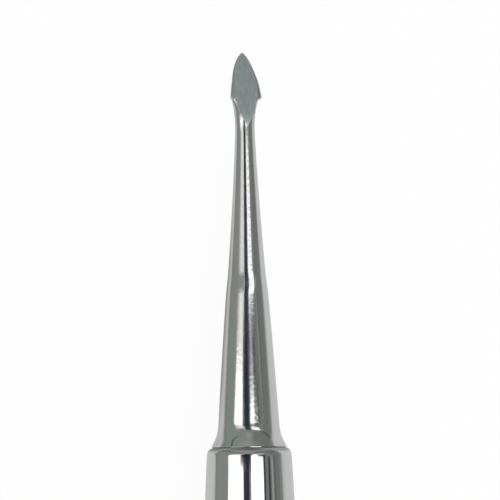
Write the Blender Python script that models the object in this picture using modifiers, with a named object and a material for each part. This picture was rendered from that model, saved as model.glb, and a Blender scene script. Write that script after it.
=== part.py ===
# Straight dental elevator: a forged, spade-tipped working end set in a hollow eight-sided handle.
# It lies on one flat of its grip, with its axis along Y and its tip towards +Y. The blade's ground
# face looks out over an edge between two flats, so it lies turned a little towards +X.
# Lengths are in metres. A station is a distance along the axis from a piece's own front.
import math

import bmesh
import bpy
from mathutils import Matrix

# Blade, from the tip to the widest point of its barbs
BLADE_LENGTH = 0.00485
BLADE_WIDTH = 0.0035
BARB_LENGTH = 0.00042
SHOULDER_DIAMETER = 0.00292
SHOULDER_LENGTH = 0.00293
FACE_ANGLE = 12.5
FACE_RUNOUT = 0.0008
EDGE_DROP = 0.00020
EDGE_THICKNESS = 0.00003
CROWN_HEIGHT = 0.00034
BELLY_DEPTH = 0.00122

# Shank, from its narrowest place to the collar; slopes are in degrees to the axis
NECK_DIAMETER = 0.00216
SLENDER_LENGTH = 0.0158
SLENDER_END_DIAMETER = 0.00409
SLENDER_END_SLOPE = 4.7
STEP_LENGTH = 0.0026
STOUT_START_DIAMETER = 0.00466
STOUT_START_SLOPE = 4.5
STOUT_LENGTH = 0.0135
STOUT_END_DIAMETER = 0.00662
STOUT_END_SLOPE = 3.6
FLARE_LENGTH = 0.00285
FLARE_END_SLOPE = 29.0
COLLAR_DIAMETER = 0.00820
COLLAR_LAND = 0.00015

# Tang, the peg behind the collar that is fixed in the handle's bore
TANG_DIAMETER = 0.0050
TANG_LENGTH = 0.0120
TANG_CHAMFER = 0.0005

# Handle shell
SHELL_LENGTH = 0.1040
FRONT_DIAMETER = 0.00840
FRONT_SLOPE = 50.0
FRONT_ROUNDING = 0.0004
THROAT_DIAMETER = 0.00918
THROAT_SLOPE = 5.0
THROAT_LENGTH = 0.0096
THROAT_END_DIAMETER = 0.00972
SWELL_LENGTH = 0.0320
SWELL_DIAMETER = 0.0138
GRIP_LENGTH = 0.0240
BUTT_DIAMETER = 0.0108
SHELL_WALL = 0.0011

# Eight flats ground along the grip, and the softening of the edges between them
FLATS = 8
ACROSS_FLATS = 0.0124
FLAT_EDGE_SOFTENING = 0.0004

# Plug that closes the shell's rear end
DOME_LENGTH = 0.0058
SPIGOT_LENGTH = 0.0060
SPIGOT_CHAMFER = 0.0004
REAR_WALL = 0.0012

# Clearances
SEAM_GAP = 0.0002
FIT_CLEARANCE = 0.0003
END_ROOM = 0.0020

# Facets round every turned piece
TURNING_STEPS = 48
CUTTER_MARGIN = 0.0020

# Places that follow from the sizes
NECK_STATION = BLADE_LENGTH + BARB_LENGTH + SHOULDER_LENGTH
STEP_STATION = NECK_STATION + SLENDER_LENGTH
STOUT_STATION = STEP_STATION + STEP_LENGTH
FLARE_STATION = STOUT_STATION + STOUT_LENGTH
COLLAR_STATION = FLARE_STATION + FLARE_LENGTH + COLLAR_LAND
SWELL_STATION = FRONT_ROUNDING + THROAT_LENGTH
GRIP_STATION = SWELL_STATION + SWELL_LENGTH
TAPER_STATION = GRIP_STATION + GRIP_LENGTH
BORE_DIAMETER = TANG_DIAMETER + 2.0 * FIT_CLEARANCE
BORE_LENGTH = TANG_LENGTH + END_ROOM
REAR_BORE_DIAMETER = BUTT_DIAMETER - 2.0 * REAR_WALL
SPIGOT_DIAMETER = REAR_BORE_DIAMETER - 2.0 * FIT_CLEARANCE
OVERALL_LENGTH = COLLAR_STATION + SEAM_GAP + SHELL_LENGTH + SEAM_GAP + DOME_LENGTH
BLADE_ROLL = math.pi / FLATS
AXIS_HEIGHT = ACROSS_FLATS / 2.0
TIP_Y = OVERALL_LENGTH / 2.0
SHELL_Y = TIP_Y - COLLAR_STATION - SEAM_GAP
PLUG_Y = SHELL_Y - SHELL_LENGTH - SEAM_GAP


def clear_scene():
    """Remove what a new file holds."""
    for old in list(bpy.data.objects):
        bpy.data.objects.remove(old, do_unlink=True)


def new_collection(name):
    """Make a collection under the scene's own."""
    collection = bpy.data.collections.new(name)
    bpy.context.scene.collection.children.link(collection)
    return collection


def steel(name, color, roughness):
    """Make a stainless steel material."""
    material = bpy.data.materials.new(name)
    material.use_nodes = True
    shader = material.node_tree.nodes["Principled BSDF"]
    shader.inputs["Base Color"].default_value = (*color, 1.0)
    shader.inputs["Metallic"].default_value = 1.0
    shader.inputs["Roughness"].default_value = roughness
    material.diffuse_color = (*color, 1.0)
    return material


def bezier(start, lead, trail, end, count):
    """Points on a cubic curve of (station, radius), without its start."""
    points = []
    for index in range(1, count + 1):
        t = index / count
        weights = ((1 - t) ** 3, 3 * t * (1 - t) ** 2, 3 * t * t * (1 - t), t ** 3)
        corners = (start, lead, trail, end)
        points.append(tuple(sum(w * p[axis] for w, p in zip(weights, corners)) for axis in (0, 1)))
    return points


def sloped(start, start_slope, end, end_slope, shares, count):
    """Points from start to end that leave and arrive at the slopes, held over shares of the length."""
    lead, trail = (share * (end[0] - start[0]) for share in shares)
    leaving = (start[0] + lead, start[1] + lead * math.tan(math.radians(start_slope)))
    arriving = (end[0] - trail, end[1] - trail * math.tan(math.radians(end_slope)))
    return bezier(start, leaving, arriving, end, count)


def smooth_share(value, low, high):
    """Rise smoothly from 0 at low to 1 at high."""
    share = min(max((value - low) / (high - low), 0.0), 1.0)
    return share * share * (3.0 - 2.0 * share)


def turned(name, profile, closed, collection):
    """Turn a profile of (station, radius), front first, about the piece's own Y axis."""
    mesh = bpy.data.meshes.new(name)
    points = [(radius, -station, 0.0) for station, radius in profile]
    edges = [(index, index + 1) for index in range(len(points) - 1)]
    if closed:
        edges.append((len(points) - 1, 0))
    mesh.from_pydata(points, edges, [])
    piece = bpy.data.objects.new(name, mesh)
    collection.objects.link(piece)
    screw = piece.modifiers.new("Turning", "SCREW")
    screw.axis = "Y"
    screw.angle = math.tau
    screw.steps = TURNING_STEPS
    screw.render_steps = TURNING_STEPS
    screw.use_merge_vertices = True
    screw.merge_threshold = 1e-6
    return piece


def settle(piece):
    """Replace a piece's mesh by what its modifiers make of it."""
    graph = bpy.context.evaluated_depsgraph_get()
    mesh = bpy.data.meshes.new_from_object(piece.evaluated_get(graph))
    piece.modifiers.clear()
    piece.data = mesh


def finish(piece, material):
    """Settle a piece, shade its round faces smooth and give it its material."""
    settle(piece)
    shell = bmesh.new()
    shell.from_mesh(piece.data)
    bmesh.ops.recalc_face_normals(shell, faces=shell.faces)
    shell.to_mesh(piece.data)
    shell.free()
    piece.data.shade_smooth()
    piece.data.set_sharp_from_angle(angle=math.radians(25.0))
    piece.data.materials.clear()
    piece.data.materials.append(material)


def cut(piece, cutter, operation):
    """Cut a piece by a closed solid that stays out of the render."""
    cutter.hide_render = True
    cutter.display_type = "WIRE"
    boolean = piece.modifiers.new(cutter.name, "BOOLEAN")
    boolean.operation = operation
    boolean.solver = "EXACT"
    boolean.object = cutter


def blank_profile():
    """Outline of the turned blank: half the blade's width, the shank, the collar and the tang."""
    edge = BLADE_WIDTH / 2.0
    shoulder = SHOULDER_DIAMETER / 2.0
    neck = NECK_DIAMETER / 2.0
    slender = SLENDER_END_DIAMETER / 2.0
    stout = STOUT_START_DIAMETER / 2.0
    flare = STOUT_END_DIAMETER / 2.0
    collar = COLLAR_DIAMETER / 2.0
    tang = TANG_DIAMETER / 2.0
    barb_end = BLADE_LENGTH + BARB_LENGTH
    land = COLLAR_STATION - COLLAR_LAND
    tang_end = COLLAR_STATION + TANG_LENGTH

    # Pointed arch of the blade, then the rounded barb and its steep rear
    points = [(0.0, 0.0)]
    points += bezier(
        (0.0, 0.0),
        (0.14 * BLADE_LENGTH, 0.56 * edge),
        (0.63 * BLADE_LENGTH, 0.885 * edge),
        (BLADE_LENGTH, edge),
        15,
    )
    points += bezier(
        (BLADE_LENGTH, edge),
        (BLADE_LENGTH + 0.75 * BARB_LENGTH, edge),
        (BLADE_LENGTH + 0.55 * BARB_LENGTH, shoulder + 0.3 * (edge - shoulder)),
        (barb_end, shoulder),
        6,
    )
    # Trumpet down to the neck, slender cone, soft step, stout cone and flare
    points += bezier(
        (barb_end, shoulder),
        (barb_end + 0.22 * SHOULDER_LENGTH, neck + 0.42 * (shoulder - neck)),
        (NECK_STATION - 0.5 * SHOULDER_LENGTH, neck),
        (NECK_STATION, neck),
        7,
    )
    joints = [
        ((NECK_STATION, neck), 0.0),
        ((STEP_STATION, slender), SLENDER_END_SLOPE),
        ((STOUT_STATION, stout), STOUT_START_SLOPE),
        ((FLARE_STATION, flare), STOUT_END_SLOPE),
        ((land, collar), FLARE_END_SLOPE),
    ]
    # Shares of each stretch over which its two slopes are held, and its count of points
    stretches = [((0.08, 0.45), 9), ((0.33, 0.33), 5), ((0.33, 0.33), 5), ((0.50, 0.28), 8)]
    for start, end, (shares, count) in zip(joints, joints[1:], stretches):
        points += sloped(*start, *end, shares, count)
    # Square rear of the collar and the tang
    points += [(COLLAR_STATION, collar), (COLLAR_STATION, tang)]
    points += [(tang_end - TANG_CHAMFER, tang), (tang_end, tang - TANG_CHAMFER), (tang_end, 0.0)]
    return points


def face_height(station):
    """Height of the ground face over the axis: a slant plane that eases out on the neck."""
    run = NECK_STATION - station
    eased_run = run - FACE_RUNOUT * (1.0 - math.exp(-run / FACE_RUNOUT))
    return NECK_DIAMETER / 2.0 - math.tan(math.radians(FACE_ANGLE)) * eased_run


def forged_section(station, radius):
    """Mid height, rise and depth of the forged section at a station of the blank."""
    share = min(station / BLADE_LENGTH, 1.0)
    edge_station = min(station, BLADE_LENGTH)
    tip = face_height(0.0) - EDGE_THICKNESS
    mid = face_height(edge_station) - EDGE_THICKNESS - EDGE_DROP * share ** 1.5
    belly = tip - (BELLY_DEPTH + tip) * (1.0 - (1.0 - share) ** 2.2)
    rise = EDGE_THICKNESS * 1.3 + (CROWN_HEIGHT - EDGE_THICKNESS) * share
    depth = mid - belly

    # Behind the barbs the section turns back into the round of the neck, its upper side first
    round_share = smooth_share(station, BLADE_LENGTH, NECK_STATION - 0.15 * SHOULDER_LENGTH)
    rise_share = smooth_share(station, BLADE_LENGTH, BLADE_LENGTH + BARB_LENGTH + 0.5 * SHOULDER_LENGTH)
    mid -= mid * round_share
    rise += (radius - rise) * rise_share
    depth += (radius - depth) * round_share
    return mid, rise, depth


def forge_blade(piece):
    """Press the turned blank's front end into the spade: shallow above, deep and round below."""
    for point in piece.data.vertices:
        station = -point.co.y
        if station >= NECK_STATION:
            continue
        radius = math.hypot(point.co.x, point.co.z)
        mid, rise, depth = forged_section(station, radius)
        lift = point.co.z / radius if radius > 0.0 else 0.0
        point.co.z = mid + lift * (rise if lift > 0.0 else depth)


def place_working_end(piece):
    """Put a piece at the tip and roll it, so that its up side looks over an edge of the grip."""
    piece.location = (0.0, TIP_Y, AXIS_HEIGHT)
    piece.rotation_euler = (0.0, BLADE_ROLL, 0.0)


def face_grinder(collection):
    """Solid that stands on the blade's ground face: a side outline, extruded across the blade."""
    front = -CUTTER_MARGIN
    top = NECK_DIAMETER / 2.0 + CUTTER_MARGIN
    runout_start = NECK_STATION - 4.0 * FACE_RUNOUT
    stations = [front] + [runout_start + (NECK_STATION - runout_start) * index / 16 for index in range(17)]
    outline = [(station, face_height(station)) for station in stations]
    outline += [(NECK_STATION, top), (front, top)]

    curve = bpy.data.curves.new("face_grinder", "CURVE")
    curve.dimensions = "2D"
    curve.fill_mode = "BOTH"
    curve.extrude = BLADE_WIDTH
    spline = curve.splines.new("POLY")
    spline.points.add(len(outline) - 1)
    for point, (station, height) in zip(spline.points, outline):
        point.co = (-station, height, 0.0, 1.0)
    spline.use_cyclic_u = True
    drawn = bpy.data.objects.new("face_grinder_outline", curve)
    collection.objects.link(drawn)

    graph = bpy.context.evaluated_depsgraph_get()
    mesh = bpy.data.meshes.new_from_object(drawn.evaluated_get(graph))
    bpy.data.objects.remove(drawn, do_unlink=True)
    solid = bmesh.new()
    solid.from_mesh(mesh)
    bmesh.ops.remove_doubles(solid, verts=solid.verts, dist=1e-6)
    # The outline lies in the plane of X and Y: turn its length along Y and its height along Z
    for point in solid.verts:
        length, height, across = point.co
        point.co = (across, length, height)
    bmesh.ops.recalc_face_normals(solid, faces=solid.faces)
    solid.to_mesh(mesh)
    solid.free()
    cutter = bpy.data.objects.new("face_grinder", mesh)
    place_working_end(cutter)
    collection.objects.link(cutter)
    return cutter


def make_working_end(parts, cutters, material):
    """Blade, shank, collar and tang: one forging, with its face ground last."""
    piece = turned("working_end", blank_profile(), False, parts)
    settle(piece)
    forge_blade(piece)
    place_working_end(piece)
    cut(piece, face_grinder(cutters), "DIFFERENCE")
    finish(piece, material)
    return piece


def shell_profile():
    """Closed outline of the handle shell's wall: outside from the front, inside from the rear."""
    front = FRONT_DIAMETER / 2.0
    throat = THROAT_DIAMETER / 2.0
    throat_end = THROAT_END_DIAMETER / 2.0
    swell = SWELL_DIAMETER / 2.0
    butt = BUTT_DIAMETER / 2.0
    bore = BORE_DIAMETER / 2.0
    rear_bore = REAR_BORE_DIAMETER / 2.0
    grip_bore = ACROSS_FLATS / 2.0 - SHELL_WALL
    taper_length = SHELL_LENGTH - TAPER_STATION
    rear_bore_station = SHELL_LENGTH - SPIGOT_LENGTH - END_ROOM

    points = [(0.0, front)]
    points += sloped((0.0, front), FRONT_SLOPE, (FRONT_ROUNDING, throat), THROAT_SLOPE, (0.33, 0.33), 4)
    points += sloped(
        (FRONT_ROUNDING, throat), THROAT_SLOPE, (SWELL_STATION, throat_end), 0.0, (0.2, 0.4), 6
    )
    points += sloped((SWELL_STATION, throat_end), 0.0, (GRIP_STATION, swell), 0.0, (0.42, 0.42), 11)
    points += [(TAPER_STATION, swell)]
    points += bezier(
        (TAPER_STATION, swell),
        (TAPER_STATION + 0.42 * taper_length, swell),
        (SHELL_LENGTH - 0.38 * taper_length, butt + 0.2 * (swell - butt)),
        (SHELL_LENGTH, butt),
        11,
    )
    points += [
        (SHELL_LENGTH, rear_bore),
        (rear_bore_station, rear_bore),
        (TAPER_STATION, grip_bore),
        (GRIP_STATION, grip_bore),
        (BORE_LENGTH + END_ROOM, throat_end - SHELL_WALL),
        (BORE_LENGTH, bore),
        (0.0, bore),
    ]
    return points


def grip_stock(collection):
    """Eight-sided bar, longer than the shell, whose sides are the planes of the flats."""
    bpy.ops.mesh.primitive_cylinder_add(
        vertices=FLATS,
        radius=ACROSS_FLATS / 2.0 / math.cos(math.pi / FLATS),
        depth=SHELL_LENGTH + 2.0 * CUTTER_MARGIN,
        location=(0.0, SHELL_Y - SHELL_LENGTH / 2.0, AXIS_HEIGHT),
    )
    stock = bpy.context.object
    stock.name = "grip_stock"
    # Half a side's turn brings a flat to the bar's +Y, and lying down brings it underneath
    lie_down = Matrix.Rotation(-math.pi / 2.0, 4, "X")
    stock.data.transform(lie_down @ Matrix.Rotation(math.pi / FLATS, 4, "Z"))
    bar = bmesh.new()
    bar.from_mesh(stock.data)
    long_edges = [edge for edge in bar.edges if edge.calc_length() > SHELL_LENGTH]
    bmesh.ops.bevel(
        bar,
        geom=long_edges,
        offset=FLAT_EDGE_SOFTENING,
        offset_type="OFFSET",
        segments=2,
        profile=0.5,
        affect="EDGES",
    )
    bar.to_mesh(stock.data)
    bar.free()
    for home in list(stock.users_collection):
        home.objects.unlink(stock)
    collection.objects.link(stock)
    return stock


def make_handle(parts, cutters, material):
    """Hollow shell: round at its throat, swelling into the grip whose flats stop it rolling."""
    piece = turned("handle", shell_profile(), True, parts)
    piece.location = (0.0, SHELL_Y, AXIS_HEIGHT)
    cut(piece, grip_stock(cutters), "INTERSECT")
    finish(piece, material)
    return piece


def plug_profile():
    """Outline of the end plug: the spigot's front, the seat on the shell's rear, then the dome."""
    butt = BUTT_DIAMETER / 2.0
    spigot = SPIGOT_DIAMETER / 2.0
    spigot_end = -SEAM_GAP - SPIGOT_LENGTH
    points = [(spigot_end, 0.0), (spigot_end, spigot - SPIGOT_CHAMFER)]
    points += [(spigot_end + SPIGOT_CHAMFER, spigot), (0.0, spigot), (0.0, butt)]
    for index in range(1, 10):
        angle = math.pi / 2.0 * index / 9.0
        points.append((DOME_LENGTH * math.sin(angle), butt * math.cos(angle)))
    points[-1] = (DOME_LENGTH, 0.0)
    return points


def make_end_plug(parts, material):
    """Domed plug with a spigot in the shell's rear bore."""
    piece = turned("end_plug", plug_profile(), False, parts)
    piece.location = (0.0, PLUG_Y, AXIS_HEIGHT)
    finish(piece, material)
    return piece


def main():
    """Build the elevator."""
    clear_scene()
    parts = new_collection("straight_dental_elevator")
    cutters = new_collection("cutters")
    polished = steel("polished_steel", (0.62, 0.63, 0.62), 0.08)
    handle_steel = steel("mirror_steel", (0.66, 0.66, 0.66), 0.05)
    plug_steel = steel("plug_steel", (0.64, 0.64, 0.64), 0.06)
    make_working_end(parts, cutters, polished)
    make_handle(parts, cutters, handle_steel)
    make_end_plug(parts, plug_steel)


main()
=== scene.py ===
import math

import bmesh
import bpy
from mathutils import Matrix, Vector


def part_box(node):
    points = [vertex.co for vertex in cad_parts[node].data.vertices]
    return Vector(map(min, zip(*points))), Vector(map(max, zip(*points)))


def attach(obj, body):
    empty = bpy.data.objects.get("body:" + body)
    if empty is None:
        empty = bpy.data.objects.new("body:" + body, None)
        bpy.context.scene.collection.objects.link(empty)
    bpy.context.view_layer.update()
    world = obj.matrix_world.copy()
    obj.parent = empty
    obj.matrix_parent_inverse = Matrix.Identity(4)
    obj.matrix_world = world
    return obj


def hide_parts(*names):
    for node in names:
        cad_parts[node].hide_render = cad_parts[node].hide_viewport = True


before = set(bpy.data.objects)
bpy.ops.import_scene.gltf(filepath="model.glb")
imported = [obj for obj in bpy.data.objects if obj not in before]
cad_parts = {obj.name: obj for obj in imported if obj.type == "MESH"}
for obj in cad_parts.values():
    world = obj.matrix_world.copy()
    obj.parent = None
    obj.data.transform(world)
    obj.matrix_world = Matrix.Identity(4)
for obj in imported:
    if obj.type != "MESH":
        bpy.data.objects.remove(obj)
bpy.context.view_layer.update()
print("frame loaded:", ", ".join(sorted(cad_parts)))

# Straight dental elevator on a white table: blade, shank and tang in one forging, a hollow handle
# and its end plug. Metres throughout. A station is a distance along the axis from a piece's front.
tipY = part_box("working_end")[1].y
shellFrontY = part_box("handle")[1].y
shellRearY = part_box("handle")[0].y
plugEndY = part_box("end_plug")[0].y
axisHeight = (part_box("handle")[0].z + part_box("handle")[1].z) / 2
axisPoint = Vector((0, 0, axisHeight))
mergeDistance = 0.000001
bladeCrease = math.radians(26)
turnedCrease = math.radians(30)


# Small helpers for drawing and editing

def activate(piece):
    for item in list(bpy.context.selected_objects):
        item.select_set(False)
    piece.select_set(True)
    bpy.context.view_layer.objects.active = piece


def openForEditing(piece):
    activate(piece)
    bpy.ops.object.mode_set(mode="EDIT")
    bpy.ops.mesh.select_all(action="SELECT")


def closeEditing():
    bpy.ops.object.mode_set(mode="OBJECT")


def selectPoints(piece, wanted):
    # Selects the vertices whose place passes the test, and nothing else
    mesh = bmesh.from_edit_mesh(piece.data)
    for point in mesh.verts:
        point.select = wanted(point.co)
    mesh.select_flush_mode()
    bmesh.update_edit_mesh(piece.data, loop_triangles=False, destructive=False)


def curveTo(start, lead, trail, end, count):
    # Points on a cubic curve, without its start
    points = []
    for index in range(1, count + 1):
        t = index / count
        shares = ((1 - t) ** 3, 3 * t * (1 - t) ** 2, 3 * t * t * (1 - t), t ** 3)
        corners = (start, lead, trail, end)
        station = sum(share * corner[0] for share, corner in zip(shares, corners))
        radius = sum(share * corner[1] for share, corner in zip(shares, corners))
        points.append((station, radius))
    return points


def slopedTo(start, startSlope, end, endSlope, shares, count):
    # Points on a curve that leaves and arrives at the slopes, each held over its share of the length
    lead, trail = (share * (end[0] - start[0]) for share in shares)
    leaving = (start[0] + lead, start[1] + lead * math.tan(startSlope))
    arriving = (end[0] - trail, end[1] - trail * math.tan(endSlope))
    return curveTo(start, leaving, arriving, end, count)


def drawLine(name, points):
    # A plane is merged to one vertex, which is then extruded from point to point
    bpy.ops.object.select_all(action="DESELECT")
    bpy.ops.mesh.primitive_plane_add(size=0.001)
    piece = bpy.context.object
    piece.name = piece.data.name = name
    openForEditing(piece)
    bpy.ops.mesh.merge(type="CENTER")
    bpy.ops.transform.translate(value=points[0])
    for start, end in zip(points, points[1:]):
        bpy.ops.mesh.extrude_region_move(TRANSFORM_OT_translate={"value": Vector(end) - Vector(start)})
    return piece


def assignSlot(piece, index, wanted):
    # Gives a material slot to the faces whose middle passes the test, and leaves edit mode
    openForEditing(piece)
    bpy.ops.mesh.select_mode(type="FACE")
    mesh = bmesh.from_edit_mesh(piece.data)
    for face in mesh.faces:
        face.select = wanted(face.calc_center_median())
    mesh.select_flush_mode()
    bmesh.update_edit_mesh(piece.data, loop_triangles=False, destructive=False)
    piece.active_material_index = index
    bpy.ops.object.material_slot_assign()
    bpy.ops.mesh.select_mode(type="VERT")
    closeEditing()


def turn(name, profile, frontY, steps):
    # Spins a profile of (station, radius) about the instrument's axis, and leaves it in edit mode
    piece = drawLine(name, [(radius, frontY - station, axisHeight) for station, radius in profile])
    bpy.ops.mesh.select_all(action="SELECT")
    bpy.ops.mesh.spin(steps=steps, angle=math.tau, center=axisPoint, axis=(0, 1, 0))
    bpy.ops.mesh.select_all(action="SELECT")
    bpy.ops.mesh.remove_doubles(threshold=mergeDistance)
    bpy.ops.mesh.normals_make_consistent(inside=False)
    return piece


def carve(piece, cutter, operation):
    activate(piece)
    boolean = piece.modifiers.new("carve", "BOOLEAN")
    boolean.operation = operation
    boolean.solver = "EXACT"
    boolean.material_mode = "TRANSFER"
    boolean.object = cutter
    bpy.ops.object.modifier_apply(modifier=boolean.name)
    bpy.data.objects.remove(cutter, do_unlink=True)


def fitOut(piece, node, creaseAngle):
    # Smooths the round faces, weights the normals by area and puts the piece in its node's place
    activate(piece)
    bpy.ops.object.shade_smooth_by_angle(angle=creaseAngle)
    weighted = piece.modifiers.new("even_shading", "WEIGHTED_NORMAL")
    weighted.keep_sharp = True
    bpy.ops.object.modifier_apply(modifier=weighted.name)
    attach(piece, "root")
    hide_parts(node)


# Shader helpers

def addNode(tree, kind, inputs, **settings):
    # Inputs are named by socket, and each is a number, a colour or another node's output
    made = tree.nodes.new(kind)
    for name, value in settings.items():
        setattr(made, name, value)
    for key, value in inputs.items():
        if isinstance(value, bpy.types.NodeSocket):
            tree.links.new(value, made.inputs[key])
        else:
            made.inputs[key].default_value = value
    return made


def newGroup(name, inputs, outputs):
    group = bpy.data.node_groups.new(name, "ShaderNodeTree")
    for label in inputs:
        group.interface.new_socket(name=label, in_out="INPUT", socket_type="NodeSocketFloat")
    for label in outputs:
        group.interface.new_socket(name=label, in_out="OUTPUT", socket_type="NodeSocketFloat")
    source = group.nodes.new("NodeGroupInput")
    sink = group.nodes.new("NodeGroupOutput")
    return group, source, sink


def calculate(tree, operation, *values):
    return addNode(tree, "ShaderNodeMath", dict(enumerate(values)), operation=operation).outputs[0]


def mixColours(tree, factor, first, second):
    mixed = addNode(tree, "ShaderNodeMix", {"Factor": factor, 6: first, 7: second}, data_type="RGBA")
    return mixed.outputs[2]


def easeBetween(tree, value, low, high):
    ramp = addNode(
        tree,
        "ShaderNodeMapRange",
        {"Value": value, "From Min": low, "From Max": high},
        interpolation_type="SMOOTHSTEP",
    )
    return ramp.outputs["Result"]


def useGroup(tree, group, inputs):
    made = tree.nodes.new("ShaderNodeGroup")
    made.node_tree = group
    for key, value in inputs.items():
        made.inputs[key].default_value = value
    return made


def buildPolishMarks():
    # Marks of the polishing belt: fine lines along the axis on top of slow, shallow waves
    group, source, sink = newGroup(
        "polishMarks",
        ("Line Scale", "Line Stretch", "Line Depth", "Wave Scale", "Wave Depth"),
        ("Height", "Haze"),
    )
    place = addNode(group, "ShaderNodeTexCoord", {}).outputs["Object"]
    parts = addNode(group, "ShaderNodeSeparateXYZ", {"Vector": place})
    shortened = calculate(group, "DIVIDE", parts.outputs["Y"], source.outputs["Line Stretch"])
    stretched = addNode(
        group, "ShaderNodeCombineXYZ", {"X": parts.outputs["X"], "Y": shortened, "Z": parts.outputs["Z"]}
    )
    lines = addNode(
        group,
        "ShaderNodeTexNoise",
        {
            "Vector": stretched.outputs[0],
            "Scale": source.outputs["Line Scale"],
            "Detail": 3.0,
            "Roughness": 0.6,
        },
    )
    waves = addNode(
        group, "ShaderNodeTexNoise", {"Vector": place, "Scale": source.outputs["Wave Scale"], "Detail": 2.0}
    )
    lineHeight = calculate(group, "MULTIPLY", lines.outputs["Fac"], source.outputs["Line Depth"])
    waveHeight = calculate(group, "MULTIPLY", waves.outputs["Fac"], source.outputs["Wave Depth"])
    height = calculate(group, "ADD", lineHeight, waveHeight)
    group.links.new(height, sink.inputs["Height"])
    group.links.new(lines.outputs["Fac"], sink.inputs["Haze"])
    return group


polishMarks = buildPolishMarks()


def steelMaterial(name, finish):
    material = bpy.data.materials.new(name)
    material.use_nodes = True
    tree = material.node_tree
    shader = tree.nodes["Principled BSDF"]
    shader.inputs["Metallic"].default_value = 1.0
    marks = useGroup(
        tree,
        polishMarks,
        {
            "Line Scale": finish["lineScale"],
            "Line Stretch": finish["lineStretch"],
            "Line Depth": finish["lineDepth"],
            "Wave Scale": finish["waveScale"],
            "Wave Depth": finish["waveDepth"],
        },
    )
    tone = addNode(
        tree,
        "ShaderNodeMix",
        {"Factor": marks.outputs["Haze"], 6: (*finish["darkTone"], 1), 7: (*finish["lightTone"], 1)},
        data_type="RGBA",
    )
    haze = addNode(
        tree,
        "ShaderNodeMapRange",
        {
            "Value": marks.outputs["Haze"],
            "To Min": finish["roughness"][0],
            "To Max": finish["roughness"][1],
        },
    )
    bump = addNode(
        tree, "ShaderNodeBump", {"Height": marks.outputs["Height"], "Strength": 1.0, "Distance": 0.001}
    )
    colour, roughness = tone.outputs[2], haze.outputs["Result"]
    if "satin" in finish:
        place = addNode(tree, "ShaderNodeTexCoord", {}).outputs["Object"]
        parts = addNode(tree, "ShaderNodeSeparateXYZ", {"Vector": place})
        station = calculate(tree, "SUBTRACT", tipY, parts.outputs["Y"])
        polish = easeBetween(tree, station, *finish["satinStations"])
        # On the shank this tone is its duller satin; on the handle's front edge the darker tone is a
        # painted dark reflection
        colour = mixColours(tree, polish, (*finish["satinAndDarkReflectionTone"], 1), colour)
        blended = addNode(tree, "ShaderNodeMix", {"Factor": polish, 2: finish["satin"], 3: roughness})
        roughness = blended.outputs[0]
    tree.links.new(colour, shader.inputs["Base Color"])
    tree.links.new(roughness, shader.inputs["Roughness"])
    tree.links.new(bump.outputs["Normal"], shader.inputs["Normal"])
    return material


# Working end: a turned blank, forged to the spade and ground on one face

blade = {
    "point": 0.00009,
    "length": 0.00508,
    "halfWidth": 0.00175,
    "barb": 0.00042,
    "aside": 0.00012,  # the grinding left the barbs a little to one side
    "shoulderRadius": 0.00146,
    "shoulderLength": 0.00295,
    # Pulls of the curves along the outline, as shares of each one's length and rise
    "archPulls": ((0.14, 0.56), (0.63, 0.885)),
    "barbPulls": (0.75, 0.55, 0.3),
    "trumpetPulls": (0.22, 0.42, 0.5),
    "faceAngle": math.radians(12.5),
    "faceRunout": 0.0008,
    "runoutSpan": 5,  # runouts over which the face is drawn in short steps
    "edgeDrop": 0.0002,
    "edgeThickness": 0.00003,
    "crown": 0.00034,
    "belly": 0.00122,
    "edgeDropPower": 1.5,
    "bellyPower": 2.2,
    "tipRise": 1.3,  # at the tip, in edge thicknesses
    "roll": math.pi / 8,  # the face looks out over an edge of the eight-sided grip
}
shank = {
    "neckRadius": 0.001065,
    "slenderLength": 0.0158,
    "slenderEndRadius": 0.002025,
    "slenderEndSlope": math.radians(4.7),
    "step": 0.00258,
    "stoutStartRadius": 0.002303,
    "stoutStartSlope": math.radians(4.5),
    "stoutLength": 0.01362,
    "stoutEndRadius": 0.003264,
    "stoutEndSlope": math.radians(3.6),
    "flare": 0.00253,
    "flareEndSlope": math.radians(26.0),
    "collarRadius": 0.00403,
    "land": 0.00005,
    "rim": 0.00002,
    "jointDepth": 0.0001,
    "tangRadius": 0.0025,
    "tangLength": 0.0120,
    "tangChamfer": 0.0005,
    # From neck to collar, the shares of each stretch over which its two slopes are held, and its points
    "stretches": [((0.08, 0.45), 32), ((0.33, 0.33), 16), ((0.33, 0.33), 24), ((0.5, 0.4), 30)],
    "steps": 224,
}
shankFinish = {
    "lineScale": 9000.0,
    "lineStretch": 60.0,
    "lineDepth": 0.0006,
    "waveScale": 2400.0,
    "waveDepth": 0.0042,
    "darkTone": (0.57, 0.575, 0.57),
    "lightTone": (0.63, 0.635, 0.63),
    "roughness": (0.07, 0.13),
    "satin": 0.3,  # the blade's sides and the shoulder are left satin
    "satinAndDarkReflectionTone": (0.52, 0.54, 0.535),
    "satinStations": (0.0068, 0.0098),
}
# The joint groove's dark tones are painted shade for the narrow gap between the collar and the handle
jointPaintedShadeFinish = {
    "lineScale": 9000.0,
    "lineStretch": 10.0,
    "lineDepth": 0.001,
    "waveScale": 1300.0,
    "waveDepth": 0.003,
    "darkTone": (0.13, 0.13, 0.13),
    "lightTone": (0.24, 0.24, 0.23),
    "roughness": (0.35, 0.5),
}
groundFinish = {
    "lineScale": 4500.0,
    "lineStretch": 30.0,
    "lineDepth": 0.02,
    "waveScale": 900.0,
    "waveDepth": 0.01,
    "darkTone": (0.40, 0.45, 0.46),
    "lightTone": (0.66, 0.71, 0.725),
    "roughness": (0.36, 0.46),
}
jointSlot, groundSlot = 1, 2
barbStation = blade["length"] + blade["barb"]
neckStation = barbStation + blade["shoulderLength"]
stepStation = neckStation + shank["slenderLength"]
stoutStation = stepStation + shank["step"]
flareStation = stoutStation + shank["stoutLength"]
landStation = flareStation + shank["flare"]
collarStation = landStation + shank["land"]


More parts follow.
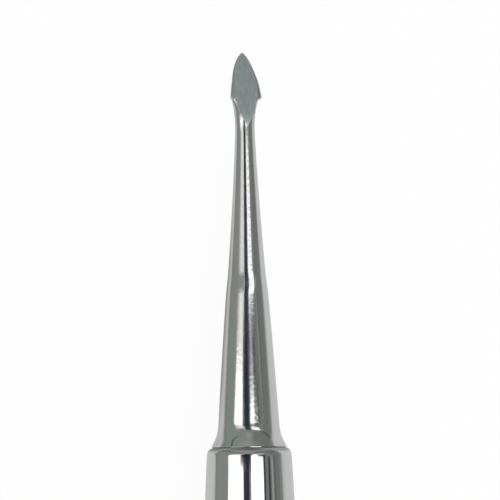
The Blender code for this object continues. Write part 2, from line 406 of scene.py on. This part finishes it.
def bladeOutline():
    # Half the blade's width by station: pointed arch, rounded barb, trumpet down to the neck
    half, shoulder, neck = blade["halfWidth"], blade["shoulderRadius"], shank["neckRadius"]
    length, barb, trumpet = blade["length"], blade["barb"], blade["shoulderLength"]
    point = (blade["point"], 0.0)
    barbLead, barbTrail, barbRise = blade["barbPulls"]
    trumpetLead, trumpetRise, trumpetTrail = blade["trumpetPulls"]
    points = [point]
    arch = [(along * length, rise * half) for along, rise in blade["archPulls"]]
    points += curveTo(point, *arch, (length, half), 36)
    points += curveTo(
        (length, half),
        (length + barbLead * barb, half),
        (length + barbTrail * barb, shoulder + barbRise * (half - shoulder)),
        (barbStation, shoulder),
        12,
    )
    points += curveTo(
        (barbStation, shoulder),
        (barbStation + trumpetLead * trumpet, neck + trumpetRise * (shoulder - neck)),
        (neckStation - trumpetTrail * trumpet, neck),
        (neckStation, neck),
        24,
    )
    return points


def shankOutline():
    # Slender cone, soft step, stout cone, flare, square collar and the tang behind it
    collar, tangRadius, rim = shank["collarRadius"], shank["tangRadius"], shank["rim"]
    jointRear = tipY - shellFrontY
    tangEnd = collarStation + shank["tangLength"]
    corners = [
        ((neckStation, shank["neckRadius"]), 0.0),
        ((stepStation, shank["slenderEndRadius"]), shank["slenderEndSlope"]),
        ((stoutStation, shank["stoutStartRadius"]), shank["stoutStartSlope"]),
        ((flareStation, shank["stoutEndRadius"]), shank["stoutEndSlope"]),
        ((landStation, collar), shank["flareEndSlope"]),
    ]
    points = []
    for start, end, (shares, count) in zip(corners, corners[1:], shank["stretches"]):
        points += slopedTo(*start, *end, shares, count)
    points += curveTo(
        (collarStation - rim, collar),
        (collarStation - 0.4 * rim, collar),
        (collarStation, collar - 0.6 * rim),
        (collarStation, collar - rim),
        4,
    )
    points += [
        (collarStation, collar - shank["jointDepth"]),
        (jointRear, collar - shank["jointDepth"]),
        (jointRear, tangRadius),
        (tangEnd - shank["tangChamfer"], tangRadius),
        (tangEnd, tangRadius - shank["tangChamfer"]),
        (tangEnd, 0.0),
    ]
    return points


def faceHeight(station):
    # Height of the ground face over the axis: a slant plane that eases out on the neck
    run = neckStation - station
    easedRun = run - blade["faceRunout"] * (1 - math.exp(-run / blade["faceRunout"]))
    return shank["neckRadius"] - math.tan(blade["faceAngle"]) * easedRun


def smoothShare(value, low, high):
    share = min(max((value - low) / (high - low), 0), 1)
    return share * share * (3 - 2 * share)


def isJoint(middle):
    # The groove between the collar and the handle
    station = tipY - middle.y
    depth = shank["collarRadius"] - math.hypot(middle.x, middle.z - axisHeight)
    inGap = collarStation - mergeDistance < station < tipY - shellFrontY + mergeDistance
    return inGap and depth > shank["rim"]


def forgedSection(station, radius):
    # Mid height, rise and depth of the forged section: shallow above, deep and round below
    length, thin, neck = blade["length"], blade["edgeThickness"], shank["neckRadius"]
    share = min(station / length, 1)
    tipHeight = faceHeight(0) - thin
    mid = faceHeight(min(station, length)) - thin - blade["edgeDrop"] * share ** blade["edgeDropPower"]
    bellyShare = 1 - (1 - share) ** blade["bellyPower"]
    bellyHeight = tipHeight - (blade["belly"] + tipHeight) * bellyShare
    rise = blade["tipRise"] * thin + (blade["crown"] - thin) * share
    depth = mid - bellyHeight
    roundShare = smoothShare(station, length, neckStation - 0.15 * blade["shoulderLength"])
    riseShare = smoothShare(station, length, barbStation + 0.5 * blade["shoulderLength"])
    mid -= mid * roundShare
    rise += (radius - rise) * riseShare
    depth += (radius - depth) * roundShare
    return mid, rise, depth


def asideShift(station):
    # None at the tip, all of it at the barbs and none again on the shoulder
    length = blade["length"]
    share = smoothShare(station, 0.3 * length, 0.75 * length) - smoothShare(station, length, barbStation)
    return blade["aside"] * share


def forgeBlade(piece, outline):
    # Each ring is pressed in its upper and its lower half, then moved to its mid height
    close = 2 * mergeDistance
    for station, radius in outline:
        y = tipY - station
        center = (0, y, axisHeight)
        mid, rise, depth = forgedSection(station, radius)
        if radius > 0:
            selectPoints(piece, lambda p: abs(p.y - y) < close and p.z > axisHeight + close)
            bpy.ops.transform.resize(value=(1, 1, rise / radius), center_override=center)
            selectPoints(piece, lambda p: abs(p.y - y) < close and p.z < axisHeight - close)
            bpy.ops.transform.resize(value=(1, 1, depth / radius), center_override=center)
        selectPoints(piece, lambda p: abs(p.y - y) < close)
        bpy.ops.transform.translate(value=(asideShift(station), 0, mid))


def faceGrinder(material):
    # Solid whose underside is the ground face, drawn from the side and pushed out across the blade
    margin = 0.002
    top = axisHeight + shank["neckRadius"] + margin
    runoutStart = neckStation - blade["runoutSpan"] * blade["faceRunout"]
    stations = [-margin + (runoutStart + margin) * index / 12 for index in range(12)]
    stations += [runoutStart + (neckStation - runoutStart) * index / 40 for index in range(41)]
    across = -2 * blade["halfWidth"]
    underside = [(across, tipY - station, axisHeight + faceHeight(station)) for station in stations]
    upper = [(across, tipY - neckStation, top), (across, tipY + margin, top)]
    grinder = drawLine("face_grinder", underside + upper)
    bpy.ops.mesh.select_all(action="SELECT")
    bpy.ops.mesh.edge_face_add()
    bpy.ops.mesh.extrude_region_move(TRANSFORM_OT_translate={"value": (-2 * across, 0, 0)})
    bpy.ops.mesh.select_all(action="SELECT")
    bpy.ops.mesh.normals_make_consistent(inside=False)
    closeEditing()
    grinder.data.materials.append(material)
    return grinder


def sharpenFace(piece):
    # The border of the ground face stays a crisp edge
    openForEditing(piece)
    bpy.ops.mesh.select_mode(type="FACE")
    mesh = bmesh.from_edit_mesh(piece.data)
    for face in mesh.faces:
        middle = face.calc_center_median()
        lift = middle.z - axisHeight - faceHeight(tipY - middle.y)
        face.select = face.material_index == groundSlot and abs(lift) < mergeDistance / 4
    mesh.select_flush_mode()
    bmesh.update_edit_mesh(piece.data, loop_triangles=False, destructive=False)
    bpy.ops.mesh.region_to_loop()
    bpy.ops.mesh.mark_sharp()
    bpy.ops.mesh.select_mode(type="VERT")
    closeEditing()


def makeWorkingEnd():
    polished = steelMaterial("polished_shank_steel", shankFinish)
    joint = steelMaterial("joint_steel_painted_shade", jointPaintedShadeFinish)
    ground = steelMaterial("ground_blade_steel", groundFinish)
    outline = bladeOutline()
    piece = turn("elevator_working_end", outline + shankOutline(), tipY, shank["steps"])
    forgeBlade(piece, outline[:-1])
    closeEditing()
    for material in (polished, joint, ground):
        piece.data.materials.append(material)
    # The groove's faces take the joint material, whose dark colour is painted shade
    assignSlot(piece, jointSlot, isJoint)
    carve(piece, faceGrinder(ground), "DIFFERENCE")
    sharpenFace(piece)
    openForEditing(piece)
    bpy.ops.transform.rotate(value=-blade["roll"], orient_axis="Y", center_override=axisPoint)
    closeEditing()
    fitOut(piece, "working_end", bladeCrease)
    return piece


makeWorkingEnd()
print("working end turned, forged and ground")


# Handle: a hollow shell, round at the throat, with flats ground along the grip

handle = {
    "frontLip": 0.00018,
    "frontRadius": 0.00412,
    "frontSlope": math.radians(45.0),
    "frontChamfer": 0.00018,
    "frontRounding": 0.00055,
    "throatRadius": 0.004535,
    "throatSlope": math.radians(3.6),
    "throatLength": 0.00913,
    "throatEndRadius": 0.00486,
    "swellLength": 0.0320,
    "swellRadius": 0.0069,
    "gripLength": 0.0240,
    "buttRadius": 0.0054,
    "wall": 0.0011,
    "rearWall": 0.0012,
    "boreRadius": 0.0028,
    "boreLength": 0.0140,
    "endRoom": 0.0020,
    "rearBoreLength": 0.0080,
    "sides": 8,
    "acrossFlats": 0.0124,
    "edgeSoftening": 0.0004,
    "rim": 0.00003,
    # Shares of each curve over which its two slopes are held
    "frontShares": (0.25, 0.35),
    "throatShares": (0.2, 0.4),
    "swellShares": (0.42, 0.42),
    "taperPulls": (0.42, 0.38, 0.2),
    "steps": 256,
}
handleFinish = {
    "lineScale": 6000.0,
    "lineStretch": 90.0,
    "lineDepth": 0.0002,
    "waveScale": 500.0,
    "waveDepth": 0.001,
    "darkTone": (0.585, 0.59, 0.585),
    "lightTone": (0.62, 0.625, 0.62),
    "roughness": (0.045, 0.075),
    "satin": 0.25,  # its front edge, made rougher, and darker in tone as a painted dark reflection
    "satinAndDarkReflectionTone": (0.33, 0.345, 0.335),
    "satinStations": (0.0433, 0.0436),
}
swellStation = handle["frontRounding"] + handle["throatLength"]
gripStation = swellStation + handle["swellLength"]
taperStation = gripStation + handle["gripLength"]
shellLength = shellFrontY - shellRearY


def handleProfile():
    # Outside from front to rear, then the bores back to the front
    swell, butt, rounding = handle["swellRadius"], handle["buttRadius"], handle["frontRounding"]
    rearBore = butt - handle["rearWall"]
    gripBore = handle["acrossFlats"] / 2 - handle["wall"]
    taper = shellLength - taperStation
    lip, rim = handle["frontLip"], handle["rim"]
    chamfer, frontSlope = handle["frontChamfer"], handle["frontSlope"]
    taperLead, taperTrail, taperRise = handle["taperPulls"]
    front = (-lip, handle["frontRadius"])
    corner = (chamfer - lip, front[1] + chamfer * math.tan(frontSlope))
    throat = (corner[0] + rounding, handle["throatRadius"])
    swellStart = (swellStation, handle["throatEndRadius"])
    points = [(rim - lip, front[1] - 2 * rim), (-lip, front[1] - rim), front]
    for index in range(1, 5):
        along = chamfer * index / 4
        points.append((front[0] + along, front[1] + along * math.tan(frontSlope)))
    points += slopedTo(corner, frontSlope, throat, handle["throatSlope"], handle["frontShares"], 14)
    points += slopedTo(throat, handle["throatSlope"], swellStart, 0, handle["throatShares"], 24)
    points += slopedTo(swellStart, 0, (gripStation, swell), 0, handle["swellShares"], 44)
    points += [(taperStation, swell)]
    points += curveTo(
        (taperStation, swell),
        (taperStation + taperLead * taper, swell),
        (shellLength - taperTrail * taper, butt + taperRise * (swell - butt)),
        (shellLength, butt),
        40,
    )
    points += [
        (shellLength, rearBore),
        (shellLength - handle["rearBoreLength"], rearBore),
        (taperStation, gripBore),
        (gripStation, gripBore),
        (handle["boreLength"] + handle["endRoom"], handle["throatEndRadius"] - handle["wall"]),
        (handle["boreLength"], handle["boreRadius"]),
        (rim - lip, handle["boreRadius"]),
        (rim - lip, front[1] - 2 * rim),
    ]
    return points


def gripBar():
    # Eight-sided bar with softened edges, whose sides are the planes of the flats
    margin = 0.002
    corner = handle["acrossFlats"] / 2 / math.cos(math.pi / handle["sides"])
    bpy.ops.object.select_all(action="DESELECT")
    bpy.ops.mesh.primitive_cylinder_add(
        vertices=handle["sides"],
        radius=corner,
        depth=shellLength + 2 * margin,
        location=(0, (shellFrontY + shellRearY) / 2, axisHeight),
        rotation=(math.pi / 2, 0, 0),
    )
    bar = bpy.context.object
    bar.name = "grip_bar"
    bpy.ops.object.transform_apply(location=True, rotation=True, scale=True)
    openForEditing(bar)
    halfSide = math.pi / handle["sides"]
    bpy.ops.transform.rotate(value=halfSide, orient_axis="Y", center_override=axisPoint)
    bpy.ops.mesh.select_mode(type="EDGE")
    bpy.ops.mesh.select_all(action="DESELECT")
    mesh = bmesh.from_edit_mesh(bar.data)
    for edge in mesh.edges:
        edge.select = edge.calc_length() > shellLength
    bmesh.update_edit_mesh(bar.data)
    bpy.ops.mesh.bevel(offset=handle["edgeSoftening"], segments=4, affect="EDGES")
    bpy.ops.mesh.select_mode(type="VERT")
    closeEditing()
    return bar


def makeHandle():
    polished = steelMaterial("mirror_handle_steel", handleFinish)
    piece = turn("elevator_handle", handleProfile(), shellFrontY, handle["steps"])
    closeEditing()
    piece.data.materials.append(polished)
    bar = gripBar()
    bar.data.materials.append(polished)
    carve(piece, bar, "INTERSECT")
    # The cut leaves slivers of no area beside the flats
    openForEditing(piece)
    bpy.ops.mesh.dissolve_degenerate(threshold=mergeDistance)
    closeEditing()
    fitOut(piece, "handle", turnedCrease)
    return piece


makeHandle()
print("handle turned, bored and given its flats")


# End plug: domed, with a spigot in the shell's rear bore

plug = {
    "spigotLength": 0.0060,
    "spigotChamfer": 0.0004,
    "clearance": 0.0003,
    "seamGap": 0.0002,
    "rim": 0.00004,
    "steps": 224,
}
plugFinish = dict(handleFinish, waveScale=420.0)


def plugProfile():
    seatY = shellRearY - plug["seamGap"]
    dome = seatY - plugEndY
    spigot = handle["buttRadius"] - handle["rearWall"] - plug["clearance"]
    spigotEnd = -plug["seamGap"] - plug["spigotLength"]
    butt, rim = handle["buttRadius"], plug["rim"]
    points = [(spigotEnd, 0.0), (spigotEnd, spigot - plug["spigotChamfer"])]
    points += [(spigotEnd + plug["spigotChamfer"], spigot), (-rim, spigot), (-rim, butt - rim), (0.0, butt)]
    for index in range(1, 32):
        angle = math.pi / 2 * index / 32
        points.append((dome * math.sin(angle), butt * math.cos(angle)))
    points.append((dome, 0.0))
    return points, seatY


def makeEndPlug():
    polished = steelMaterial("polished_plug_steel", plugFinish)
    profile, seatY = plugProfile()
    piece = turn("elevator_end_plug", profile, seatY, plug["steps"])
    closeEditing()
    piece.data.materials.append(polished)
    fitOut(piece, "end_plug", turnedCrease)
    return piece


makeEndPlug()
print("end plug turned")


# Table, studio and camera

camera = {
    "lens": 150.0,
    "sensor": 36.0,
    "frameWidth": 0.05402,
    "frameStation": 0.02183,  # the picture's centre, from the tip
    "frameOffset": 0.000375,
    "pitch": math.radians(5.4),  # it stands over the handle's front
    "tilt": math.radians(4.0),
    "lean": math.radians(0.78),
}
table = {
    "size": 3.0,
    "paper": (0.97, 0.97, 0.97),
    "glowToCamera": 0.94,
    "glowInSteel": 0.35,
    "sheetInner": 0.016,
    "sheetOuter": 0.080,
    "leftStretch": (1.45, 0.72),  # on the left it ends sooner beside the shank, later beside the handle
    "sheetFront": 0.01,  # and towards the tip its distance is counted from this station
    "sheetTone": 0.86,
    "surroundings": 0.34,
    "shade": 0.42,  # a soft shade on the table, left of the shank, and where it fades to the left
    "shadeFade": (0.018, 0.007),
    "shadeStations": (0.008, 0.027, 0.035, 0.042),
}


def makeTable():
    bpy.ops.object.select_all(action="DESELECT")
    bpy.ops.mesh.primitive_plane_add(size=table["size"])
    top = bpy.context.object
    top.name = "table"
    material = bpy.data.materials.new("white_table")
    material.use_nodes = True
    tree = material.node_tree
    shader = tree.nodes["Principled BSDF"]
    shader.inputs["Roughness"].default_value = 0.8
    shader.inputs["Specular IOR Level"].default_value = 0.0
    place = addNode(tree, "ShaderNodeTexCoord", {}).outputs["Object"]
    parts = addNode(tree, "ShaderNodeSeparateXYZ", {"Vector": place})
    station = calculate(tree, "SUBTRACT", tipY, parts.outputs["Y"])
    shankStretch, handleStretch = table["leftStretch"]
    start, full, fade, end = table["shadeStations"]
    handleShare = easeBetween(tree, station, fade, end)
    stretch = calculate(tree, "MULTIPLY_ADD", handleShare, handleStretch - shankStretch, shankStretch)
    leftDistance = calculate(tree, "MULTIPLY", parts.outputs["X"], -1.0)
    leftward = calculate(tree, "MULTIPLY", leftDistance, stretch)
    forward = calculate(tree, "MULTIPLY_ADD", station, -1.0, table["sheetFront"])
    side = calculate(tree, "MAXIMUM", calculate(tree, "MAXIMUM", parts.outputs["X"], leftward), forward)
    shadeStart = easeBetween(tree, station, start, full)
    shade = calculate(tree, "SUBTRACT", shadeStart, handleShare)
    shade = calculate(tree, "MULTIPLY", shade, easeBetween(tree, leftDistance, *table["shadeFade"]))
    shade = calculate(tree, "MULTIPLY", shade, calculate(tree, "LESS_THAN", parts.outputs["X"], 0.0))
    shade = calculate(tree, "MULTIPLY_ADD", shade, -table["shade"], 1.0)
    dim = addNode(
        tree,
        "ShaderNodeMapRange",
        {
            "Value": side,
            "From Min": table["sheetInner"],
            "From Max": table["sheetOuter"],
            "To Min": table["sheetTone"],
            "To Max": table["surroundings"],
        },
        interpolation_type="SMOOTHSTEP",
    )
    light = addNode(tree, "ShaderNodeLightPath", {})
    seen = addNode(
        tree,
        "ShaderNodeMix",
        {
            "Factor": light.outputs["Is Camera Ray"],
            2: calculate(tree, "MULTIPLY", dim.outputs["Result"], shade),
            3: 1.0,
        },
    )
    glow = addNode(tree, "ShaderNodeEmission", {"Color": (1, 1, 1, 1), "Strength": seen.outputs[0]})
    paper = mixColours(tree, seen.outputs[0], (0, 0, 0, 1), (*table["paper"], 1))
    tree.links.new(paper, shader.inputs["Base Color"])
    toCamera = calculate(tree, "MULTIPLY", light.outputs["Is Camera Ray"], table["glowToCamera"])
    inSteel = calculate(tree, "MULTIPLY", light.outputs["Is Glossy Ray"], table["glowInSteel"])
    share = calculate(tree, "MAXIMUM", toCamera, inSteel)
    blend = addNode(tree, "ShaderNodeMixShader", {0: share, 1: shader.outputs[0], 2: glow.outputs[0]})
    tree.links.new(blend.outputs[0], tree.nodes["Material Output"].inputs["Surface"])
    top.data.materials.append(material)


# Each panel of the studio is a patch of sky in degrees from the camera's own line: across the axis,
# positive to the right, and along the axis, positive towards the tip. A panel is its name, its near
# and far end, its left and right side, half the width of its blurred sides and ends, and its colour.
# One with a second pair of sides leans to them at its far end. Later panels stand before earlier ones.
studio = {
    "wallBlend": (-30.0, 30.0),
    "leftWall": (0.33, 0.365, 0.335),
    "rightWall": (0.235, 0.26, 0.245),
    "farWall": (0.62, 0.62, 0.60),
    "farStations": (44.0, 54.0, 60.0, 72.0),  # where the far wall's light begins, is full, fades and ends
    "panels": [
        ("rear light", (-75, -24), [(-75, 75)], (5, 5), (3.7, 3.7, 3.7)),
        ("left light above", (4.8, 9.6), [(-45, -10)], (13, 1.5), (1.26, 1.24, 1.18)),
        ("left light", (-60, 1.5), [(-57, -10)], (2, 1), (2.5, 2.5, 2.5)),
        ("left light's far end", (0.5, 4.3), [(-59, -10), (-50, -10)], (3, 0.7), (2.5, 2.5, 2.5)),
        ("right light", (-60, 1.4), [(0, 37)], (2, 0.6), (2.5, 2.5, 2.5)),
        ("right light's far end", (1.2, 3.4), [(2.5, 26), (8, 20)], (1.5, 0.5), (2.5, 2.5, 2.5)),
        ("grey card beside the blade", (-58, -10), [(-80, -10)], (3, 2), (0.36, 0.385, 0.37)),
        ("dark bar over the right light", (3.8, 7.5), [(2, 34)], (2, 0.6), (0.09, 0.09, 0.1)),
        ("veil on the dark bar", (4.4, 7.2), [(11, 18.5)], (2.5, 0.6), (0.36, 0.40, 0.46)),
        ("right light above", (7.6, 13.5), [(6, 31), (9, 58)], (4, 1.0), (1.85, 1.85, 1.82)),
        ("camera gap", (-60, 1), [(-16.4, 1)], (2, 1), (0.055, 0.05, 0.06)),
        ("camera gap's middle", (0.5, 6.8), [(-23, 5), (-22, 4.5)], (1.5, 0.5), (0.03, 0.035, 0.05)),
        ("camera gap's far end", (6.5, 14), [(-17, 3.5), (-13, 14)], (1.5, 0.8), (0.045, 0.05, 0.07)),
        ("warm edge", (0.5, 6.8), [(-26, -23), (-25, -22)], (1.2, 0.5), (0.95, 0.82, 0.58)),
        ("warm edge's far end", (6.5, 14), [(-19.5, -17), (-16, -13)], (1.2, 0.8), (0.95, 0.82, 0.58)),
        ("cool edge", (-60, 14), [(1, 4.5)], (1.5, 1), (0.10, 0.14, 0.20)),
        ("dark line beside the right light", (-60, 2), [(38.5, 43)], (1.2, 1), (0.06, 0.065, 0.08)),
        ("dark frame", (-60, 1), [(52, 57)], (1.5, 1), (0.05, 0.05, 0.045)),
        ("thin light", (-60, 1), [(61, 66)], (1.5, 1), (0.46, 0.48, 0.46)),
        ("dark edge of the thin light", (-60, 1), [(69, 73)], (1.5, 1), (0.16, 0.17, 0.16)),
        ("dark frame by the shank", (1.2, 4.4), [(35.5, 45), (22.5, 35)], (1.5, 0.5), (0.04, 0.045, 0.05)),
        ("dark frame's far end", (4.1, 7), [(22.5, 35), (20, 33)], (1.5, 0.6), (0.05, 0.055, 0.06)),
        ("thin light by the shank", (1.2, 9), [(56, 60), (42, 46)], (1.5, 0.7), (0.40, 0.42, 0.40)),
        ("its dark edge", (1.2, 9), [(62, 66), (50, 54)], (1.5, 0.7), (0.16, 0.17, 0.16)),
        ("light over the blade", (22, 44), [(-12, 12)], (7, 8), (0.42, 0.43, 0.42)),
        ("dark frame over the flare", (8, 36), [(35.5, 41), (93, 101)], (1.5, 1), (0.05, 0.055, 0.05)),
        ("dark edge over the flare", (29, 49), [(-38, -31), (-109, -100)], (1.5, 1), (0.05, 0.05, 0.05)),
    ],
}


def buildPanelMask():
    group, source, sink = newGroup(
        "panelMask",
        (
            "Across",
            "Along",
            "Near",
            "Far",
            "Left",
            "Right",
            "Left Lean",
            "Right Lean",
            "Side Soft",
            "End Soft",
        ),
        ("Mask",),
    )
    across, along = source.outputs["Across"], source.outputs["Along"]
    sideSoft, endSoft = source.outputs["Side Soft"], source.outputs["End Soft"]

    def step(value, edge, soft):
        low = calculate(group, "SUBTRACT", edge, soft)
        high = calculate(group, "ADD", edge, soft)
        return easeBetween(group, value, low, high)

    sinceNear = calculate(group, "SUBTRACT", along, source.outputs["Near"])
    left = calculate(group, "MULTIPLY_ADD", sinceNear, source.outputs["Left Lean"], source.outputs["Left"])
    right = source.outputs["Right"]
    right = calculate(group, "MULTIPLY_ADD", sinceNear, source.outputs["Right Lean"], right)
    width = calculate(group, "SUBTRACT", step(across, left, sideSoft), step(across, right, sideSoft))
    near, far = source.outputs["Near"], source.outputs["Far"]
    length = calculate(group, "SUBTRACT", step(along, near, endSoft), step(along, far, endSoft))
    group.links.new(calculate(group, "MULTIPLY", width, length), sink.inputs["Mask"])
    return group


def makeStudio():
    world = bpy.data.worlds.new("studio")
    bpy.context.scene.world = world
    world.use_nodes = True
    tree = world.node_tree
    look = addNode(tree, "ShaderNodeTexCoord", {}).outputs["Generated"]
    parts = addNode(tree, "ShaderNodeSeparateXYZ", {"Vector": look})
    turned = calculate(tree, "ARCTAN2", parts.outputs["X"], parts.outputs["Z"])
    across = calculate(tree, "DEGREES", calculate(tree, "SUBTRACT", turned, camera["tilt"]))
    raised = calculate(tree, "ARCSINE", parts.outputs["Y"])
    along = calculate(tree, "DEGREES", calculate(tree, "SUBTRACT", raised, camera["pitch"]))
    sides = easeBetween(tree, across, *studio["wallBlend"])
    sky = mixColours(tree, sides, (*studio["leftWall"], 1), (*studio["rightWall"], 1))
    far = calculate(
        tree,
        "SUBTRACT",
        easeBetween(tree, along, *studio["farStations"][:2]),
        easeBetween(tree, along, *studio["farStations"][2:]),
    )
    sky = mixColours(tree, far, sky, (*studio["farWall"], 1))
    panelMask = buildPanelMask()
    for name, (near, far), sides, (sideSoft, endSoft), tone in studio["panels"]:
        (left, right), (farLeft, farRight) = sides[0], sides[-1]
        mask = useGroup(
            tree,
            panelMask,
            {
                "Near": near,
                "Far": far,
                "Left": left,
                "Right": right,
                "Left Lean": (farLeft - left) / (far - near),
                "Right Lean": (farRight - right) / (far - near),
                "Side Soft": sideSoft,
                "End Soft": endSoft,
            },
        )
        mask.label = name
        tree.links.new(across, mask.inputs["Across"])
        tree.links.new(along, mask.inputs["Along"])
        sky = mixColours(tree, mask.outputs["Mask"], sky, (*tone, 1))
    light = addNode(tree, "ShaderNodeLightPath", {})
    seen = mixColours(tree, light.outputs["Is Camera Ray"], sky, (1, 1, 1, 1))
    tree.links.new(seen, tree.nodes["Background"].inputs["Color"])


def makeCamera():
    bpy.ops.object.select_all(action="DESELECT")
    turnedOver = Matrix.Rotation(camera["tilt"], 3, "Y") @ Matrix.Rotation(camera["pitch"], 3, "X")
    turnedOver = turnedOver @ Matrix.Rotation(-camera["lean"], 3, "Z")
    distance = camera["frameWidth"] / camera["sensor"] * camera["lens"]
    target = Vector((0, tipY - camera["frameStation"], axisHeight))
    target += turnedOver @ Vector((camera["frameOffset"], 0, 0))
    bpy.ops.object.camera_add(
        location=target + turnedOver @ Vector((0, 0, distance)), rotation=turnedOver.to_euler()
    )
    seenFrom = bpy.context.object
    seenFrom.name = "camera"
    seenFrom.data.lens = camera["lens"]
    seenFrom.data.sensor_width = camera["sensor"]
    seenFrom.data.clip_start = 0.01
    seenFrom.data.clip_end = 10.0
    bpy.context.scene.camera = seenFrom


makeTable()
makeStudio()
makeCamera()
bpy.context.scene.view_settings.view_transform = "Standard"
print("table, studio and camera placed")
